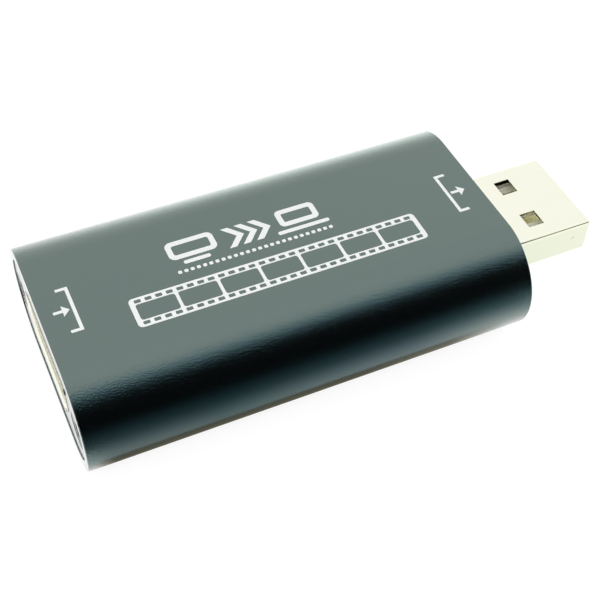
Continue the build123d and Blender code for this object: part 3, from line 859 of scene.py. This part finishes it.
stageFacts = {
    "floorSize": 3.0,
    "floorColour": (0.24, 0.24, 0.24),
    "floorGlow": 0.82,
    "worldSeen": 1.0,
    "worldLight": 0.85,
    "worldTones": [(0.0, 1.0), (0.35, 0.97), (0.75, 0.95), (0.94, 1.0), (1.0, 1.0)],
    "lampPlace": (-0.105, -0.205, 0.265),
    "lampSize": 0.20,
    "lampPower": 0.55,
}

# The cards: two upright and three flat ones in front of the object, two pale ones behind it.
# Tones run along a card's axis, up, across or along the object, and length tones along X, up to
# the height lengthTop where a card has one. Places are in metres.
nearLength = [
    (-0.040, (0.52, 0.55, 0.56)),
    (-0.027, (0.50, 0.52, 0.54)),
    (-0.016, (0.37, 0.44, 0.45)),
    (-0.004, (0.48, 0.53, 0.56)),
    (0.008, (0.57, 0.60, 0.65)),
    (0.019, (0.97, 0.95, 0.92)),
    (0.030, (1.00, 1.00, 1.00)),
]
flatLength = [
    (-0.0330, (0.95, 0.97, 0.96)),
    (-0.0308, (0.90, 0.92, 0.91)),
    (-0.0292, (0.58, 0.61, 0.62)),
    *nearLength[1:],
]
farLength = [
    (-0.030, (0.74, 0.76, 0.75)),
    (-0.012, (0.85, 0.87, 0.86)),
    (0.005, (0.94, 0.98, 0.95)),
]
cardFacts = {
    "uprightCard": {
        "axis": "Z",
        "level": -0.024,
        "start": -0.150,
        "end": 0.026,
        "slant": 0.034,
        "strength": 1.6,
        "tones": [
            (0.0, (0.27, 0.32, 0.37)),
            (0.0012, (0.20, 0.26, 0.31)),
            (0.0034, (0.10, 0.16, 0.18)),
            (0.0063, (0.05, 0.10, 0.12)),
            (0.0095, (0.008, 0.015, 0.02)),
            (0.0120, (0.001, 0.001, 0.002)),
            (0.0245, (0.001, 0.001, 0.002)),
            (0.0285, (0.02, 0.035, 0.05)),
            (0.0330, (0.09, 0.14, 0.19)),
            (0.0400, (0.21, 0.28, 0.34)),
            (0.0460, (0.32, 0.39, 0.45)),
            (0.0600, (0.50, 0.55, 0.58)),
            (0.0800, (0.60, 0.61, 0.62)),
        ],
        "lengthTones": nearLength,
        "lengthTop": 0.012,
    },
    "plugCard": {
        "axis": "Z",
        "level": -0.024,
        "start": 0.026,
        "end": 0.090,
        "slant": 0.034,
        "strength": 1.0,
        "tones": [
            (0.0, (0.92, 0.93, 0.85)),
            (0.0100, (0.92, 0.93, 0.85)),
            (0.0120, (0.10, 0.09, 0.05)),
            (0.0210, (0.10, 0.09, 0.05)),
            (0.0240, (0.95, 0.95, 0.92)),
            (0.0800, (1.00, 1.00, 1.00)),
        ],
    },
    "flatCard": {
        "axis": "Y",
        "level": 0.00005,
        "start": -0.0315,
        "end": 0.026,
        "strength": 1.6,
        "tones": [
            (-0.0240, (0.27, 0.32, 0.37)),
            (-0.0217, (0.34, 0.39, 0.44)),
            (-0.0192, (0.46, 0.51, 0.54)),
            (-0.0174, (0.56, 0.60, 0.61)),
            (-0.0152, (0.58, 0.62, 0.63)),
        ],
        "lengthTones": flatLength,
    },
    "contactCard": {
        "axis": "X",
        "level": 0.00005,
        "start": -0.0152,
        "end": -0.0090,
        "strength": 1.0,
        "tones": [
            (-0.0315, (0.98, 0.98, 0.97)),
            (-0.0307, (0.85, 0.85, 0.82)),
            (-0.0297, (0.42, 0.40, 0.35)),
            (-0.0285, (0.16, 0.15, 0.11)),
            (0.0000, (0.16, 0.15, 0.11)),
            (0.0110, (0.26, 0.245, 0.19)),
            (0.0150, (0.60, 0.60, 0.55)),
            (0.0190, (0.98, 0.99, 0.98)),
            (0.0235, (1.00, 1.00, 1.00)),
        ],
    },
    "plugFlatCard": {
        "axis": "X",
        "level": 0.00005,
        "start": -0.0146,
        "end": -0.0075,
        "strength": 1.0,
        "tones": [
            (0.0236, (0.82, 0.86, 0.81)),
            (0.0300, (0.87, 0.91, 0.86)),
            (0.0450, (0.92, 0.94, 0.90)),
        ],
    },
    "backCard": {
        "axis": "Z",
        "level": 0.062,
        "start": -0.150,
        "end": 0.150,
        "strength": 1.45,
        "tones": [
            (0.0, (1.00, 1.00, 1.00)),
            (0.0140, (1.00, 1.00, 1.00)),
            (0.0300, (0.72, 0.72, 0.72)),
        ],
        "lengthTones": farLength,
    },
    "backFlatCard": {
        "axis": "Y",
        "level": 0.00005,
        "start": -0.150,
        "end": 0.150,
        "strength": 1.45,
        "tones": [
            (0.0160, (1.00, 1.00, 1.00)),
            (0.0620, (1.00, 1.00, 1.00)),
        ],
        "lengthTones": farLength,
    },
}


def raySeen(tree, place):
    # one for camera, gloss and transmission rays, zero for the rest
    path = addNode(tree, "ShaderNodeLightPath", place)
    x, y = place
    first = addNode(tree, "ShaderNodeMath", (x + nodeStep, y), operation="MAXIMUM")
    second = addNode(tree, "ShaderNodeMath", (x + 2 * nodeStep, y), operation="MAXIMUM")
    tree.links.new(path.outputs["Is Camera Ray"], first.inputs[0])
    tree.links.new(path.outputs["Is Glossy Ray"], first.inputs[1])
    tree.links.new(first.outputs["Value"], second.inputs[0])
    tree.links.new(path.outputs["Is Transmission Ray"], second.inputs[1])
    return second.outputs["Value"]


def makeRamp(tree, place, value, tones):
    # colours placed at real values, read from a colour ramp between the first and the last
    low, high = tones[0][0], tones[-1][0]
    span = addNode(tree, "ShaderNodeMapRange", place)
    span.inputs["From Min"].default_value = low
    span.inputs["From Max"].default_value = high
    tree.links.new(value, span.inputs["Value"])
    ramp = addNode(tree, "ShaderNodeValToRGB", (place[0] + nodeStep, place[1]))
    stops = ramp.color_ramp.elements
    while len(stops) > 1:
        stops.remove(stops[-1])
    for index, (height, colour) in enumerate(tones):
        stop = stops[0] if index == 0 else stops.new((height - low) / (high - low))
        stop.position = (height - low) / (high - low)
        stop.color = (*colour, 1)
    tree.links.new(span.outputs["Result"], ramp.inputs["Fac"])
    return ramp.outputs["Color"]


def makeSurround(facts):
    world = bpy.data.worlds.new("paleSurround")
    bpy.context.scene.world = world
    world.use_nodes = True
    tree = world.node_tree
    background = tree.nodes["Background"]
    coords = addNode(tree, "ShaderNodeTexCoord", (-900, 300))
    split = addNode(tree, "ShaderNodeSeparateXYZ", (-700, 300))
    tree.links.new(coords.outputs["Generated"], split.inputs["Vector"])
    tones = [(height, (value, value, value)) for height, value in facts["worldTones"]]
    colour = makeRamp(tree, (-400, 300), split.outputs["Z"], tones)
    tree.links.new(colour, background.inputs["Color"])
    seen = raySeen(tree, (-900, 0))
    strength = mapValue(tree, (-200, 0), seen, facts["worldLight"], facts["worldSeen"])
    tree.links.new(strength, background.inputs["Strength"])


def makeFloor(facts):
    size = facts["floorSize"] / 2
    mesh = bpy.data.meshes.new("floor")
    corners = [(-size, -size, 0), (size, -size, 0), (size, size, 0), (-size, size, 0)]
    mesh.from_pydata(corners, [], [(0, 1, 2, 3)])
    floor = bpy.data.objects.new("floor", mesh)
    bpy.context.scene.collection.objects.link(floor)
    material = bpy.data.materials.new("paleFloor")
    material.use_nodes = True
    tree = material.node_tree
    tree.nodes.clear()
    output = addNode(tree, "ShaderNodeOutputMaterial", (600, 0))
    diffuse = addNode(tree, "ShaderNodeBsdfDiffuse", (0, 100))
    diffuse.inputs["Color"].default_value = (*facts["floorColour"], 1)
    glow = addNode(tree, "ShaderNodeEmission", (0, -100))
    seen = raySeen(tree, (-900, -100))
    glowStrength = mapValue(tree, (-250, -100), seen, 0.0, facts["floorGlow"])
    tree.links.new(glowStrength, glow.inputs["Strength"])
    total = addNode(tree, "ShaderNodeAddShader", (300, 0))
    tree.links.new(diffuse.outputs["BSDF"], total.inputs[0])
    tree.links.new(glow.outputs["Emission"], total.inputs[1])
    tree.links.new(total.outputs["Shader"], output.inputs["Surface"])
    mesh.materials.append(material)


def makeLamp(facts):
    lamp = bpy.data.lights.new("softLamp", "AREA")
    lamp.shape = "DISK"
    lamp.size = facts["lampSize"]
    lamp.energy = facts["lampPower"]
    lampObject = bpy.data.objects.new("softLamp", lamp)
    lampObject.location = facts["lampPlace"]
    lampObject.rotation_mode = "QUATERNION"
    lampObject.rotation_quaternion = Vector(facts["lampPlace"]).to_track_quat("Z", "Y")
    lampObject.visible_glossy = False
    bpy.context.scene.collection.objects.link(lampObject)


def makeCard(name, facts):
    low, high = facts["tones"][0][0], facts["tones"][-1][0]
    start, end, level = facts["start"], facts["end"], facts["level"]
    slant = facts.get("slant", 0)
    if facts["axis"] == "Z":
        points = [
            (start, level, low),
            (end, level, low),
            (end + slant, level, high),
            (start + slant, level, high),
        ]
    elif facts["axis"] == "Y":
        points = [
            (start, low, level),
            (end, low, level),
            (end, high, level),
            (start, high, level),
        ]
    else:
        points = [
            (low, start, level),
            (high, start, level),
            (high, end, level),
            (low, end, level),
        ]
    mesh = bpy.data.meshes.new(name)
    mesh.from_pydata(points, [], [(0, 1, 2, 3)])
    card = bpy.data.objects.new(name, mesh)
    bpy.context.scene.collection.objects.link(card)
    card.visible_camera = False
    card.visible_diffuse = False
    card.visible_shadow = False
    card.visible_transmission = False
    material = bpy.data.materials.new(name)
    material.use_nodes = True
    tree = material.node_tree
    tree.nodes.clear()
    link = tree.links.new
    output = addNode(tree, "ShaderNodeOutputMaterial", (900, 0))
    glow = addNode(tree, "ShaderNodeEmission", (700, 0))
    glow.inputs["Strength"].default_value = facts["strength"]
    coords = addNode(tree, "ShaderNodeTexCoord", (-900, 0))
    split = addNode(tree, "ShaderNodeSeparateXYZ", (-700, 0))
    link(coords.outputs["Object"], split.inputs["Vector"])
    colour = makeRamp(tree, (-500, -100), split.outputs[facts["axis"]], facts["tones"])
    if "lengthTones" in facts:
        along = makeRamp(tree, (-500, 200), split.outputs["X"], facts["lengthTones"])
        product = addNode(tree, "ShaderNodeMix", (0, 100), data_type="RGBA", blend_type="MULTIPLY")
        product.inputs["Factor"].default_value = 1
        link(colour, product.inputs[mixFirst])
        link(along, product.inputs[mixSecond])
        toned = product.outputs[mixResult]
        if "lengthTop" in facts:
            rise = addNode(tree, "ShaderNodeMath", (0, 300), operation="GREATER_THAN")
            rise.inputs[1].default_value = facts["lengthTop"]
            link(split.outputs["Z"], rise.inputs[0])
            colour = mixColour(tree, (200, 100), rise.outputs["Value"], toned, colour)
        else:
            colour = toned
    link(colour, glow.inputs["Color"])
    link(glow.outputs["Emission"], output.inputs["Surface"])
    mesh.materials.append(material)


makeSurround(stageFacts)
makeFloor(stageFacts)
makeLamp(stageFacts)
for name, facts in cardFacts.items():
    makeCard(name, facts)
print("stage: light and floor made")
